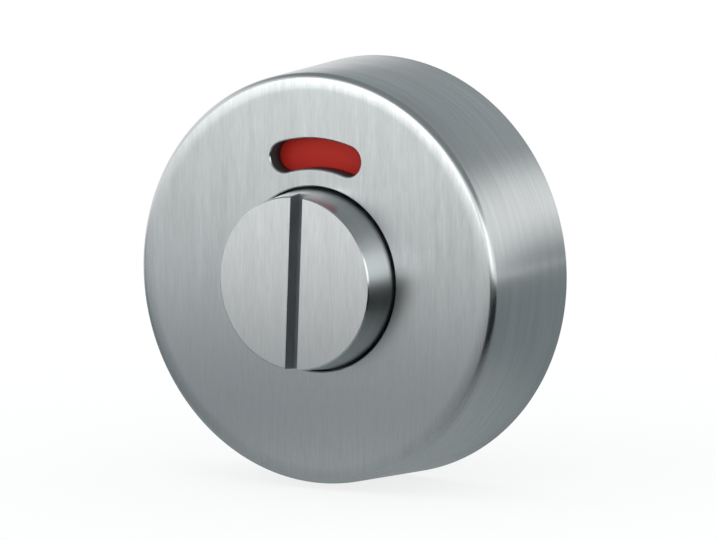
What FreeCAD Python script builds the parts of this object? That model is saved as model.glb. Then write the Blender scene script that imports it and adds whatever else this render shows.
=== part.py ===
import FreeCAD, Part
import math
import os

import Sketcher

Vector = FreeCAD.Vector

# The outside half of a bathroom lock: a deep round rose with a colour window and a coin release.
# The lock axis runs along Y. The rose stands on the door at y = 0, its face looks along -Y and the
# window is at the top, along +Z. Every depth is measured forward from the door.

document = FreeCAD.newDocument("BathroomLockRose")
sheet = document.addObject("Spreadsheet::Sheet", "Sizes")

SIZES = [
    # Drawn steel cover
    ("rose_diameter", 52.0, "outside diameter of the cover at the door"),
    ("face_inset", 0.77, "how far the wall leans in from door to face"),
    ("rose_depth", 16.5, "door to the front of the face"),
    ("cover_wall", 1.5, "thickness of the drawn sheet"),
    ("crown_radius", 16.0, "soft bend at the rim of the face"),
    ("crown_angle", 5.0, "degrees that bend turns before the corner"),
    ("corner_radius", 0.8, "outside radius between that bend and the wall"),
    ("inner_edge", 0.6, "inside bevel between face and wall"),
    ("hole_edge", 0.13, "broken edge of the hole and window"),
    ("knob_gap", 0.3, "ring gap between knob and cover"),
    ("window_land", 2.1, "sheet between the knob hole and the window"),
    ("window_width", 3.8, "radial width of the window"),
    ("window_angle", 34.4, "degrees between the centres of the window ends"),
    ("frame_clearance", 0.15, "window frame to the colour fields"),
    ("frame_margin", 1.2, "window frame beyond the window"),
    ("frame_angle", 58.0, "degrees covered by the window frame"),
    # Turned release with its shank
    ("knob_diameter", 21.3, "diameter of the knob at its front"),
    ("knob_flare", 0.45, "how far its side leans out towards the cover"),
    ("knob_proud", 5.0, "knob in front of the face"),
    ("knob_chamfer", 0.15, "broken front edge of the knob"),
    ("slot_width", 1.65, "coin slot width"),
    ("slot_depth", 2.0, "coin slot depth"),
    ("slot_lean_angle", 2.2, "degrees the slot leans clockwise"),
    ("shank_diameter", 14.0, "shank in the bearing bush"),
    ("shank_tail", 0.9, "shank behind the retaining ring"),
    ("key_height", 1.0, "key seat beyond the shank"),
    ("key_flat_depth", 0.8, "flats cut into the key seat"),
    ("key_clearance", 0.05, "disc bore around the key seat"),
    ("groove_depth", 0.3, "ring groove below the shank"),
    ("groove_clearance", 0.05, "ring groove beyond the ring"),
    # Indicator
    ("indicator_recess", 2.5, "face to the colour fields"),
    ("disc_thickness", 1.5, "indicator disc"),
    ("disc_margin", 0.8, "disc beyond the window"),
    ("field_thickness", 0.4, "colour field let into the disc"),
    ("field_margin", 0.5, "colour field beyond the window"),
    ("field_angle", 84.0, "degrees covered by one colour field"),
    ("field_clearance", 0.03, "room around a colour field"),
    # Stops
    ("turn_angle", 90.0, "degrees from occupied to vacant"),
    ("lug_angle", 12.0, "degrees covered by the stop lug"),
    ("stop_angle", 10.0, "degrees covered by one stop rib"),
    ("stop_gap_angle", 1.2, "degrees left at each end of the travel"),
    ("stop_clearance", 0.4, "room in front of and behind the stops"),
    # Bearing stack
    ("washer_room", 1.0, "bush flange to disc"),
    ("wave_count", 3, "crests round the wave washer"),
    ("wave_thickness", 0.4, "wave washer strip"),
    ("wave_clearance", 0.1, "wave washer to its neighbours"),
    ("wave_width", 2.4, "radial width of the wave washer"),
    ("washer_clearance", 0.3, "washers around the shank"),
    ("bush_wall", 1.45, "wall of the bearing bush"),
    ("bush_flange_thickness", 1.0, "flange of the bearing bush"),
    ("bush_flange_width", 2.0, "flange beyond the bush"),
    ("bush_clearance", 0.02, "bush in its boss"),
    ("running_clearance", 0.05, "shank in its bush"),
    ("thrust_thickness", 0.8, "thrust washer"),
    ("thrust_width", 2.6, "radial width of the thrust washer"),
    ("ring_thickness", 1.0, "retaining ring"),
    ("ring_width", 1.9, "radial width of the retaining ring"),
    ("ring_gap", 2.2, "opening of the retaining ring"),
    ("ear_radius", 1.45, "ears of the retaining ring"),
    ("ear_hole_diameter", 1.6, "plier holes in the ears"),
    # Moulded carrier
    ("fit_clearance", 0.1, "carrier inside the cover"),
    ("carrier_wall", 1.4, "outer wall of the carrier at its front"),
    ("rim_chamfer", 0.8, "front edge of the carrier"),
    ("web_thickness", 2.5, "plate under the disc"),
    ("boss_wall", 2.7, "wall of the bearing boss"),
    ("ring_wall", 1.4, "ring rib between boss and wall"),
    ("rib_thickness", 1.4, "spoke ribs"),
    ("rib_count", 8, "number of spoke ribs"),
    ("rib_setback", 0.5, "ribs behind the rear rim"),
    ("recess_depth", 3.5, "door to the rear of the bearing boss"),
    # Fixings
    ("insert_diameter", 5.6, "threaded insert for a fixing bolt"),
    ("insert_length", 7.5, "length of that insert"),
    ("insert_bore", 3.3, "tapped bore of that insert"),
    ("insert_edge", 0.5, "insert to the carrier wall"),
    ("insert_wall", 1.4, "moulding around an insert"),
    ("insert_band", 2.8, "knurled band at each end of an insert"),
    ("insert_waist", 0.4, "waist between the bands"),
    ("insert_clearance", 0.02, "insert in its boss"),
    ("cover_screw_depth", 5.0, "door to the axis of the cover screw"),
    ("cover_screw_diameter", 3.0, "cover screw"),
    ("cover_screw_length", 5.0, "length of the cover screw"),
    ("cover_screw_sunk", 0.4, "cover screw below the cover"),
    ("cover_screw_clearance", 0.2, "cover hole around the screw"),
    ("cover_screw_socket", 1.5, "hexagon socket across flats"),
    ("cover_screw_socket_depth", 1.6, "hexagon socket depth"),
    ("thread_clearance", 0.02, "screw in its thread"),
    ("cover_insert_diameter", 4.4, "threaded insert for the cover screw"),
    ("cover_insert_length", 4.0, "length of that insert"),
    ("cover_insert_sunk", 0.3, "that insert below the carrier wall"),
    ("cover_insert_band", 1.5, "knurled band at each end of that insert"),
    ("cover_insert_floor", 0.5, "room behind that insert"),
    # Spindle
    ("spindle_size", 8.0, "square of the spindle"),
    ("spindle_reach", 30.0, "spindle behind the door face of the rose"),
    ("spindle_clearance", 0.05, "spindle in its socket"),
    ("spindle_chamfer", 0.8, "broken ends of the spindle"),
    ("spindle_end_gap", 0.3, "spindle to the floor of its socket"),
    ("socket_depth", 12.0, "square socket in the shank"),
    ("pin_diameter", 2.5, "rolled cross pin"),
    ("pin_wall", 0.5, "wall of the rolled pin"),
    ("pin_slit", 0.5, "slit of the rolled pin"),
    ("pin_depth", 7.0, "door to the axis of the pin"),
    ("pin_setback", 0.4, "pin below the shank"),
    ("pin_clearance", 0.02, "pin in its hole"),
]

for row, (alias, value, note) in enumerate(SIZES, start=1):
    sheet.set("A%d" % row, note)
    sheet.set("B%d" % row, str(value))
    sheet.setAlias("B%d" % row, alias)
document.recompute()

# Radii, from the axis outwards
SHANK = "(Sizes.shank_diameter / 2)"
KEY = f"({SHANK} + Sizes.key_height)"
KEY_FLAT = f"({KEY} - Sizes.key_flat_depth)"
GROOVE = f"({SHANK} - Sizes.groove_depth)"
BUSH_BORE = f"({SHANK} + Sizes.running_clearance)"
BUSH = f"({BUSH_BORE} + Sizes.bush_wall)"
BUSH_FLANGE = f"({BUSH} + Sizes.bush_flange_width)"
BOSS_BORE = f"({BUSH} + Sizes.bush_clearance)"
BOSS = f"({BOSS_BORE} + Sizes.boss_wall)"
WASHER_BORE = f"({SHANK} + Sizes.washer_clearance)"
KNOB = "(Sizes.knob_diameter / 2)"
KNOB_BASE = f"({KNOB} + Sizes.knob_flare)"
KNOB_HOLE = f"({KNOB_BASE} + Sizes.knob_gap)"
WINDOW_INNER = f"({KNOB_HOLE} + Sizes.window_land)"
WINDOW_MIDDLE = f"({WINDOW_INNER} + Sizes.window_width / 2)"
WINDOW_OUTER = f"({WINDOW_INNER} + Sizes.window_width)"
FIELD_INNER = f"({WINDOW_INNER} - Sizes.field_margin)"
FIELD_OUTER = f"({WINDOW_OUTER} + Sizes.field_margin)"
DISC = f"({WINDOW_OUTER} + Sizes.disc_margin)"

# Depths, from the face back to the door
FACE = "Sizes.rose_depth"
FACE_INSIDE = "(Sizes.rose_depth - Sizes.cover_wall)"
KNOB_FRONT = "(Sizes.rose_depth + Sizes.knob_proud)"
DISC_FRONT = "(Sizes.rose_depth - Sizes.indicator_recess)"
DISC_BACK = f"({DISC_FRONT} - Sizes.disc_thickness)"
BUSH_FRONT = f"({DISC_BACK} - Sizes.washer_room)"
PLATE_FRONT = f"({BUSH_FRONT} - Sizes.bush_flange_thickness)"
PLATE_BACK = f"({PLATE_FRONT} - Sizes.web_thickness)"
BOSS_BACK = "Sizes.recess_depth"
THRUST_FRONT = f"({BOSS_BACK} - Sizes.running_clearance)"
THRUST_BACK = f"({THRUST_FRONT} - Sizes.thrust_thickness)"
RING_BACK = f"({THRUST_BACK} - Sizes.ring_thickness)"
GROOVE_BACK = f"({RING_BACK} - Sizes.groove_clearance)"
SHANK_END = f"({RING_BACK} - Sizes.shank_tail)"
SOCKET_FLOOR = f"({SHANK_END} + Sizes.socket_depth)"


def cover_outside(depth):
    """Outside radius of the tapered cover at a depth."""
    return f"(Sizes.rose_diameter / 2 - Sizes.face_inset * ({depth}) / Sizes.rose_depth)"


def cover_inside(depth):
    """Inside radius of the cover at a depth."""
    return f"({cover_outside(depth)} - Sizes.cover_wall)"


def carrier_outside(depth):
    """Outside radius of the carrier at a depth."""
    return f"({cover_inside(depth)} - Sizes.fit_clearance)"


WELL = f"({carrier_outside(FACE_INSIDE)} - Sizes.carrier_wall)"
RING_RIB = f"(({BOSS} + {WELL}) / 2)"
RING_RIB_INNER = f"({RING_RIB} - Sizes.ring_wall / 2)"
RING_RIB_OUTER = f"({RING_RIB} + Sizes.ring_wall / 2)"
INSERT = "(Sizes.insert_diameter / 2)"
INSERT_PLACE = f"({WELL} - Sizes.insert_edge - {INSERT})"
INSERT_BOSS = f"({INSERT} + Sizes.insert_wall)"
COVER_INSERT = "(Sizes.cover_insert_diameter / 2)"
COVER_INSERT_OUTER = f"({carrier_outside('Sizes.cover_screw_depth')} - Sizes.cover_insert_sunk)"
COVER_INSERT_INNER = f"({COVER_INSERT_OUTER} - Sizes.cover_insert_length)"
COVER_SCREW = "(Sizes.cover_screw_diameter / 2)"
COVER_SCREW_OUTER = f"({cover_outside('Sizes.cover_screw_depth')} - Sizes.cover_screw_sunk)"
COVER_SCREW_INNER = f"({COVER_SCREW_OUTER} - Sizes.cover_screw_length)"
PIN_HOLE = "(Sizes.pin_diameter / 2 + Sizes.pin_clearance)"

# The rim of the face: a soft bend, then a corner that runs into the leaning wall
AXIS = ("0", "0")
SLANT = "sqrt(Sizes.rose_depth * Sizes.rose_depth + Sizes.face_inset * Sizes.face_inset)"
CROWN_SINE = "sin(Sizes.crown_angle * 1 deg)"
CROWN_COSINE = "cos(Sizes.crown_angle * 1 deg)"
CROWN_PLACE = "(Sizes.rose_depth - Sizes.crown_radius)"
CORNER_OUT = f"((Sizes.crown_radius - Sizes.corner_radius) * {CROWN_SINE})"
CORNER_PLACE = f"({CROWN_PLACE} + (Sizes.crown_radius - Sizes.corner_radius) * {CROWN_COSINE})"
WALL_TOP = f"({CORNER_PLACE} + Sizes.corner_radius * Sizes.face_inset / {SLANT})"
CORNER = f"({cover_outside(WALL_TOP)} - Sizes.corner_radius * Sizes.rose_depth / {SLANT})"
CROWN = f"({CORNER} - {CORNER_OUT})"
CROWN_END = f"({CROWN} + Sizes.crown_radius * {CROWN_SINE})"
CROWN_END_PLACE = f"({CROWN_PLACE} + Sizes.crown_radius * {CROWN_COSINE})"

# Where the stop lug rests, counted anticlockwise from the top as seen from the front
LUG_PLACE = "(180 - Sizes.turn_angle / 2)"
STOP_OFFSET = "((Sizes.lug_angle + Sizes.stop_angle) / 2 + Sizes.stop_gap_angle)"
FIRST_STOP = f"({LUG_PLACE} - {STOP_OFFSET})"
LAST_STOP = f"({LUG_PLACE} + Sizes.turn_angle + {STOP_OFFSET})"

# Two places nearer than this many millimetres count as one
SAME_PLACE = 1e-5


def number(expression):
    """Present value of an expression on the size sheet."""
    value = sheet.evalExpression(expression)
    return float(getattr(value, "Value", value))


def new_body(label):
    """Start one piece of the rose."""
    body = document.addObject("PartDesign::Body", label)
    body.Label = label
    return body


def new_sketch(body, name, plane, forward=None, across=None, turned=None):
    """Sketch on one of the body's own planes, moved and turned by expressions."""
    sketch = body.newObject("Sketcher::SketchObject", name)
    support = [feature for feature in body.Origin.OriginFeatures if feature.Role == plane]
    sketch.AttachmentSupport = [(support[0], "")]
    sketch.MapMode = "FlatFace"
    if forward is not None:
        sketch.setExpression("AttachmentOffset.Base.z", forward)
    if across is not None:
        sketch.setExpression("AttachmentOffset.Base.x", across)
    if turned is not None:
        sketch.setExpression("AttachmentOffset.Rotation.Angle", f"{turned} * 1 deg")
    return sketch


def bind(sketch, constraint, name, expression):
    """Add a dimension to a sketch and drive it by an expression."""
    index = sketch.addConstraint(constraint)
    sketch.renameConstraint(index, name)
    sketch.setExpression("Constraints." + name, expression)


def place_point(sketch, geometry, point, name, across, up):
    """Fix one point of a sketch by its two coordinates."""
    across_rule = Sketcher.Constraint("DistanceX", -1, 1, geometry, point, number(across))
    up_rule = Sketcher.Constraint("DistanceY", -1, 1, geometry, point, number(up))
    bind(sketch, across_rule, name + "_across", across)
    bind(sketch, up_rule, name + "_up", up)


def outline(sketch, corners, arcs=None):
    """Closed outline through corners; arcs gives radius and centre of the sides that bend."""
    arcs = arcs or {}
    points = [Vector(number(across), number(up), 0) for across, up in corners]
    sides = []
    for side, first in enumerate(points):
        last = points[(side + 1) % len(points)]
        if side not in arcs:
            geometry = sketch.addGeometry(Part.LineSegment(first, last), False)
            sides.append((geometry, 1, 2))
            continue
        radius, (across, up) = arcs[side]
        pivot = Vector(number(across), number(up), 0)
        bend = Part.Circle(pivot, Vector(0, 0, 1), number(radius))
        start = math.atan2(first.y - pivot.y, first.x - pivot.x)
        end = math.atan2(last.y - pivot.y, last.x - pivot.x)
        anticlockwise = (end - start) % (2 * math.pi) < math.pi
        if not anticlockwise:
            start, end = end, start
        if end < start:
            end += 2 * math.pi
        geometry = sketch.addGeometry(Part.ArcOfCircle(bend, start, end), False)
        sides.append((geometry, 1, 2) if anticlockwise else (geometry, 2, 1))
    for side, (geometry, first, last) in enumerate(sides):
        following, following_first, unused = sides[(side + 1) % len(sides)]
        sketch.addConstraint(Sketcher.Constraint("Coincident", geometry, last, following, following_first))
    for side, (geometry, first, last) in enumerate(sides):
        across, up = corners[side]
        place_point(sketch, geometry, first, "corner_%d" % side, across, up)
        if side in arcs:
            radius = arcs[side][0]
            rule = Sketcher.Constraint("Radius", geometry, number(radius))
            bind(sketch, rule, "arc_%d" % side, radius)


def circle(sketch, radius, across="0", up="0"):
    """Circle with its centre fixed by two coordinates."""
    centre = Vector(number(across), number(up), 0)
    geometry = sketch.addGeometry(Part.Circle(centre, Vector(0, 0, 1), number(radius)), False)
    place_point(sketch, geometry, 3, "centre_%d" % geometry, across, up)
    rule = Sketcher.Constraint("Radius", geometry, number(radius))
    bind(sketch, rule, "radius_%d" % geometry, radius)


def rectangle(sketch, left, right, bottom, top):
    """Upright rectangle between four coordinates."""
    outline(sketch, [(left, bottom), (right, bottom), (right, top), (left, top)])


def sector(sketch, inner, outer, sweep):
    """Part of a ring, centred on the top of the sketch."""
    sine = f"sin({sweep} / 2 * 1 deg)"
    cosine = f"cos({sweep} / 2 * 1 deg)"
    corners = [
        (f"-{outer} * {sine}", f"{outer} * {cosine}"),
        (f"{outer} * {sine}", f"{outer} * {cosine}"),
        (f"{inner} * {sine}", f"{inner} * {cosine}"),
        (f"-{inner} * {sine}", f"{inner} * {cosine}"),
    ]
    outline(sketch, corners, {0: (outer, AXIS), 2: (inner, AXIS)})


def double_flat(sketch, radius, flat):
    """Circle with two opposite flats, the outline of the key seat."""
    half = f"sqrt({radius} * {radius} - {flat} * {flat})"
    corners = [(f"-{half}", flat), (half, flat), (half, f"-{flat}"), (f"-{half}", f"-{flat}")]
    outline(sketch, corners, {1: (radius, AXIS), 3: (radius, AXIS)})


def curved_window(sketch, inner, middle, outer, sweep):
    """Slot bent about the origin, with round ends, centred on the top of the sketch."""
    half = math.radians(number(sweep) / 2)
    radius = number(middle)
    end_radius = (number(outer) - number(inner)) / 2
    upright = math.pi / 2
    axis = Vector(0, 0, 1)
    rings = []
    for size in (inner, outer):
        ring = Part.Circle(Vector(0, 0, 0), axis, number(size))
        rings.append(sketch.addGeometry(Part.ArcOfCircle(ring, upright - half, upright + half), False))
        sketch.addConstraint(Sketcher.Constraint("Coincident", rings[-1], 3, -1, 1))
    place = Vector(radius * math.sin(half), radius * math.cos(half), 0)
    end_circle = Part.Circle(place, axis, end_radius)
    right = sketch.addGeometry(Part.ArcOfCircle(end_circle, -upright - half, upright - half), False)
    place = Vector(-radius * math.sin(half), radius * math.cos(half), 0)
    end_circle = Part.Circle(place, axis, end_radius)
    left = sketch.addGeometry(Part.ArcOfCircle(end_circle, upright + half, 3 * upright + half), False)
    inside, outside = rings
    sketch.addConstraint(Sketcher.Constraint("Tangent", inside, 1, right, 1))
    sketch.addConstraint(Sketcher.Constraint("Tangent", outside, 1, right, 2))
    sketch.addConstraint(Sketcher.Constraint("Tangent", outside, 2, left, 1))
    sketch.addConstraint(Sketcher.Constraint("Tangent", inside, 2, left, 2))
    bind(sketch, Sketcher.Constraint("Radius", inside, number(inner)), "inner_radius", inner)
    bind(sketch, Sketcher.Constraint("Radius", outside, number(outer)), "outer_radius", outer)
    reach = f"{middle} * sin({sweep} / 2 * 1 deg)"
    rule = Sketcher.Constraint("DistanceX", -1, 1, right, 3, number(reach))
    bind(sketch, rule, "right_end", reach)
    rule = Sketcher.Constraint("DistanceX", -1, 1, left, 3, -number(reach))
    bind(sketch, rule, "left_end", f"-{reach}")


def revolve(body, name, corners, across=None, arcs=None):
    """Turned form about the lock axis, from corners and arc centres given as radius and depth."""
    sketch = new_sketch(body, name + "_profile", "XY_Plane", across=across)
    places = [(radius, f"-({depth})") for radius, depth in corners]
    bends = {}
    for side, (size, (radius, depth)) in (arcs or {}).items():
        bends[side] = (size, (radius, f"-({depth})"))
    outline(sketch, places, bends)
    return spin(body, name, sketch)


def spin(body, name, sketch):
    """Revolve a profile about its own upright axis."""
    feature = body.newObject("PartDesign::Revolution", name)
    feature.Profile = sketch
    feature.ReferenceAxis = (sketch, ["V_Axis"])
    feature.Angle = 360
    document.recompute()
    return feature


def pad(body, name, sketch, length):
    """Raise a sketch along its normal."""
    feature = body.newObject("PartDesign::Pad", name)
    feature.Profile = sketch
    feature.setExpression("Length", length)
    document.recompute()
    return feature


def pocket(body, name, sketch, length, along_normal=False):
    """Cut a sketch into the body, against its normal unless told otherwise."""
    before = body.Shape.Volume
    feature = body.newObject("PartDesign::Pocket", name)
    feature.Profile = sketch
    feature.Reversed = along_normal
    feature.setExpression("Length", length)
    document.recompute()
    if not body.Shape.Volume < before - 1e-6:
        raise RuntimeError(name + " cuts nothing")
    return feature


def cut_through(body, name, sketch):
    """Cut a sketch right through the body, both ways."""
    before = body.Shape.Volume
    feature = body.newObject("PartDesign::Pocket", name)
    feature.Profile = sketch
    feature.Type = "ThroughAll"
    feature.Midplane = True
    document.recompute()
    if not body.Shape.Volume < before - 1e-6:
        raise RuntimeError(name + " cuts nothing")
    return feature


def level_edges(feature, axis, place):
    """Names of all edges that lie in one plane across an axis."""
    names = []
    for index, edge in enumerate(feature.Shape.Edges, start=1):
        spread = [getattr(point, axis) for point in edge.discretize(5)]
        if max(abs(value - place) for value in spread) < SAME_PLACE:
            names.append("Edge%d" % index)
    return names


def dress(body, kind, name, base, edges, size_name, size):
    """Fillet or chamfer named edges."""
    feature = body.newObject("PartDesign::" + kind, name)
    feature.Base = (base, edges)
    feature.setExpression(size_name, size)
    document.recompute()
    return feature


# Drawn cover: a tapered cup with a soft rim, a knob hole, a colour window and a screw hole underneath
cover = new_body("rose_cover")
inner_bend = f"({FACE_INSIDE} - Sizes.inner_edge)"
rim_bends = {
    1: ("Sizes.crown_radius", (CROWN, CROWN_PLACE)),
    2: ("Sizes.corner_radius", (CORNER, CORNER_PLACE)),
}
revolve(cover, "cover_cup", [
    (KNOB_HOLE, FACE),
    (CROWN, FACE),
    (CROWN_END, CROWN_END_PLACE),
    (cover_outside(WALL_TOP), WALL_TOP),
    (cover_outside("0"), "0"),
    (cover_inside("0"), "0"),
    (cover_inside(inner_bend), inner_bend),
    (f"{cover_inside(FACE_INSIDE)} - Sizes.inner_edge", FACE_INSIDE),
    (KNOB_HOLE, FACE_INSIDE),
], arcs=rim_bends)
window_sketch = new_sketch(cover, "window_outline", "XZ_Plane", forward=FACE)
curved_window(window_sketch, WINDOW_INNER, WINDOW_MIDDLE, WINDOW_OUTER, "Sizes.window_angle")
window_cut = pocket(cover, "window", window_sketch, "2 * Sizes.cover_wall")
face_edges = []
for edge_name in level_edges(window_cut, "y", -number(FACE)):
    box = window_cut.Shape.getElement(edge_name).BoundBox
    reach = max(abs(box.XMin), abs(box.XMax), abs(box.ZMin), abs(box.ZMax))
    if reach < number(FIELD_OUTER):
        face_edges.append(edge_name)
dress(cover, "Chamfer", "face_openings", window_cut, face_edges, "Size", "Sizes.hole_edge")
cover_hole_start = f"-({cover_inside('Sizes.cover_screw_depth')} - Sizes.cover_wall)"
cover_hole_sketch = new_sketch(cover, "screw_hole_outline", "XY_Plane", forward=cover_hole_start)
circle(cover_hole_sketch, f"{COVER_SCREW} + Sizes.cover_screw_clearance", up="-Sizes.cover_screw_depth")
pocket(cover, "screw_hole", cover_hole_sketch, "Sizes.rose_diameter")

# Dark frame on the inside of the cover: it deepens the window as far as the colour fields
window_frame = new_body("window_frame")
frame_back = f"({DISC_FRONT} + Sizes.frame_clearance)"
frame_thickness = f"{FACE_INSIDE} - {frame_back}"
frame_inner = f"({WINDOW_INNER} - Sizes.frame_margin)"
frame_outer = f"({WINDOW_OUTER} + Sizes.frame_margin)"
frame_sketch = new_sketch(window_frame, "frame_outline", "XZ_Plane", forward=frame_back)
sector(frame_sketch, frame_inner, frame_outer, "Sizes.frame_angle")
pad(window_frame, "frame_plate", frame_sketch, frame_thickness)
opening_sketch = new_sketch(window_frame, "frame_opening_outline", "XZ_Plane", forward=FACE_INSIDE)
curved_window(opening_sketch, WINDOW_INNER, WINDOW_MIDDLE, WINDOW_OUTER, "Sizes.window_angle")
pocket(window_frame, "frame_opening", opening_sketch, frame_thickness)

# Moulded carrier: well for the disc in front, bearing boss and ribs behind
carrier = new_body("carrier")
rim_place = f"({FACE_INSIDE} - Sizes.rim_chamfer)"
revolve(carrier, "carrier_section", [
    (BOSS_BORE, PLATE_FRONT),
    (WELL, PLATE_FRONT),
    (WELL, FACE_INSIDE),
    (f"{carrier_outside(FACE_INSIDE)} - Sizes.rim_chamfer", FACE_INSIDE),
    (carrier_outside(rim_place), rim_place),
    (carrier_outside("0"), "0"),
    (WELL, "0"),
    (WELL, PLATE_BACK),
    (RING_RIB_OUTER, PLATE_BACK),
    (RING_RIB_OUTER, "Sizes.rib_setback"),
    (RING_RIB_INNER, "Sizes.rib_setback"),
    (RING_RIB_INNER, PLATE_BACK),
    (BOSS, PLATE_BACK),
    (BOSS, BOSS_BACK),
    (BOSS_BORE, BOSS_BACK),
])
rib_sketch = new_sketch(carrier, "rib_outline", "XZ_Plane", forward="Sizes.rib_setback",
                        turned="180 / Sizes.rib_count")
rib_start = f"{BOSS} - Sizes.boss_wall / 8"
rib_end = f"{WELL} + Sizes.carrier_wall / 4"
rectangle(rib_sketch, rib_start, rib_end, "-Sizes.rib_thickness / 2", "Sizes.rib_thickness / 2")
rib_length = f"{PLATE_BACK} - Sizes.rib_setback + Sizes.web_thickness / 4"
rib = pad(carrier, "rib", rib_sketch, rib_length)
ribs = carrier.newObject("PartDesign::PolarPattern", "ribs")
ribs.Originals = [rib]
ribs.Axis = (rib_sketch, ["N_Axis"])
ribs.Angle = 360
ribs.setExpression("Occurrences", "Sizes.rib_count")
carrier.Tip = ribs
document.recompute()
boss_sketch = new_sketch(carrier, "insert_boss_outline", "XZ_Plane")
circle(boss_sketch, INSERT_BOSS, across=INSERT_PLACE)
circle(boss_sketch, INSERT_BOSS, across=f"-{INSERT_PLACE}")
pad(carrier, "insert_bosses", boss_sketch, f"{PLATE_BACK} + Sizes.web_thickness / 4")
block_sketch = new_sketch(carrier, "cover_screw_block_outline", "XZ_Plane", forward="Sizes.rib_setback")
block_half = f"({COVER_INSERT} + Sizes.insert_wall)"
block_top = f"-({RING_RIB})"
block_bottom = f"-({WELL} + Sizes.carrier_wall / 4)"
rectangle(block_sketch, f"-{block_half}", block_half, block_bottom, block_top)
pad(carrier, "cover_screw_block", block_sketch, rib_length)
insert_hole_sketch = new_sketch(carrier, "insert_hole_outline", "XZ_Plane")
insert_hole = f"({INSERT} + Sizes.insert_clearance)"
circle(insert_hole_sketch, insert_hole, across=INSERT_PLACE)
circle(insert_hole_sketch, insert_hole, across=f"-{INSERT_PLACE}")
pocket(carrier, "insert_holes", insert_hole_sketch, "Sizes.insert_length", along_normal=True)
side_hole_start = f"-({COVER_INSERT_INNER} - Sizes.cover_insert_floor)"
side_hole_sketch = new_sketch(carrier, "cover_insert_hole_outline", "XY_Plane", forward=side_hole_start)
circle(side_hole_sketch, f"{COVER_INSERT} + Sizes.insert_clearance", up="-Sizes.cover_screw_depth")
pocket(carrier, "cover_insert_hole", side_hole_sketch, "Sizes.rose_diameter")
stop_height = f"{DISC_BACK} - Sizes.stop_clearance - {PLATE_FRONT} + Sizes.web_thickness / 4"
stop_foot = f"{PLATE_FRONT} - Sizes.web_thickness / 4"
first_stop_sketch = new_sketch(carrier, "occupied_stop_outline", "XZ_Plane", forward=stop_foot,
                               turned=FIRST_STOP)
sector(first_stop_sketch, WINDOW_INNER, WINDOW_OUTER, "Sizes.stop_angle")
pad(carrier, "occupied_stop", first_stop_sketch, stop_height)
last_stop_sketch = new_sketch(carrier, "vacant_stop_outline", "XZ_Plane", forward=stop_foot,
                              turned=LAST_STOP)
sector(last_stop_sketch, WINDOW_INNER, WINDOW_OUTER, "Sizes.stop_angle")
pad(carrier, "vacant_stop", last_stop_sketch, stop_height)

# Flanged bearing bush in the boss
bush = new_body("bearing_bush")
revolve(bush, "bush_section", [
    (BUSH_BORE, BUSH_FRONT),
    (BUSH_FLANGE, BUSH_FRONT),
    (BUSH_FLANGE, PLATE_FRONT),
    (BUSH, PLATE_FRONT),
    (BUSH, BOSS_BACK),
    (BUSH_BORE, BOSS_BACK),
])

# Wave washer that gives the turn its drag: a strip that rises and falls as it goes round the shank
wave_inner = number(WASHER_BORE)
wave_outer = wave_inner + number("Sizes.wave_width")
wave_thickness = number("Sizes.wave_thickness")
wave_middle = number(f"({DISC_BACK} + {BUSH_FRONT}) / 2")
wave_height = number("(Sizes.washer_room - Sizes.wave_thickness) / 2 - Sizes.wave_clearance")
wave_count = int(number("Sizes.wave_count"))
sections_per_wave = 8
sections = []
for step in range(wave_count * sections_per_wave):
    angle = 2 * math.pi * step / (wave_count * sections_per_wave)
    out = Vector(math.cos(angle), 0, math.sin(angle))
    depth = wave_middle + wave_height * math.cos(wave_count * angle)
    back = Vector(0, -(depth - wave_thickness / 2), 0)
    front = Vector(0, -(depth + wave_thickness / 2), 0)
    corners = [
        out * wave_inner + back,
        out * wave_outer + back,
        out * wave_outer + front,
        out * wave_inner + front,
    ]
    sections.append(Part.makePolygon(corners + corners[:1]))
wave_washer = document.addObject("Part::Feature", "wave_washer")
wave_washer.Label = "wave_washer"
wave_washer.Shape = Part.makeLoft(sections, True, False, True)

# Thrust washer and retaining ring behind the boss
thrust_washer = new_body("thrust_washer")
thrust_outer = f"{WASHER_BORE} + Sizes.thrust_width"
revolve(thrust_washer, "thrust_section", [
    (WASHER_BORE, THRUST_FRONT),
    (thrust_outer, THRUST_FRONT),
    (thrust_outer, THRUST_BACK),
    (WASHER_BORE, THRUST_BACK),
])
ring = new_body("retaining_ring")
ring_inner = f"({GROOVE} + Sizes.groove_clearance)"
ring_outer = f"({ring_inner} + Sizes.ring_width)"
ring_sketch = new_sketch(ring, "ring_outline", "XZ_Plane", forward=RING_BACK)
circle(ring_sketch, ring_outer)
circle(ring_sketch, ring_inner)
pad(ring, "ring_body", ring_sketch, "Sizes.ring_thickness")
ear_across = "(Sizes.ring_gap / 2 + Sizes.ear_radius * 0.8)"
ear_up = f"({ring_outer} - Sizes.ear_radius * 0.1)"
ear_sketch = new_sketch(ring, "ear_outline", "XZ_Plane", forward=RING_BACK)
circle(ear_sketch, "Sizes.ear_radius", across=f"-{ear_across}", up=ear_up)
circle(ear_sketch, "Sizes.ear_radius", across=ear_across, up=ear_up)
pad(ring, "ears", ear_sketch, "Sizes.ring_thickness")
gap_sketch = new_sketch(ring, "gap_outline", "XZ_Plane", forward=THRUST_BACK)
gap_top = f"({ring_outer} + 2 * Sizes.ear_radius)"
rectangle(gap_sketch, "-Sizes.ring_gap / 2", "Sizes.ring_gap / 2", "0", gap_top)
pocket(ring, "gap", gap_sketch, "Sizes.ring_thickness")
plier_sketch = new_sketch(ring, "plier_hole_outline", "XZ_Plane", forward=THRUST_BACK)
circle(plier_sketch, "Sizes.ear_hole_diameter / 2", across=f"-{ear_across}", up=ear_up)
circle(plier_sketch, "Sizes.ear_hole_diameter / 2", across=ear_across, up=ear_up)
pocket(ring, "plier_holes", plier_sketch, "Sizes.ring_thickness")


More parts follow.
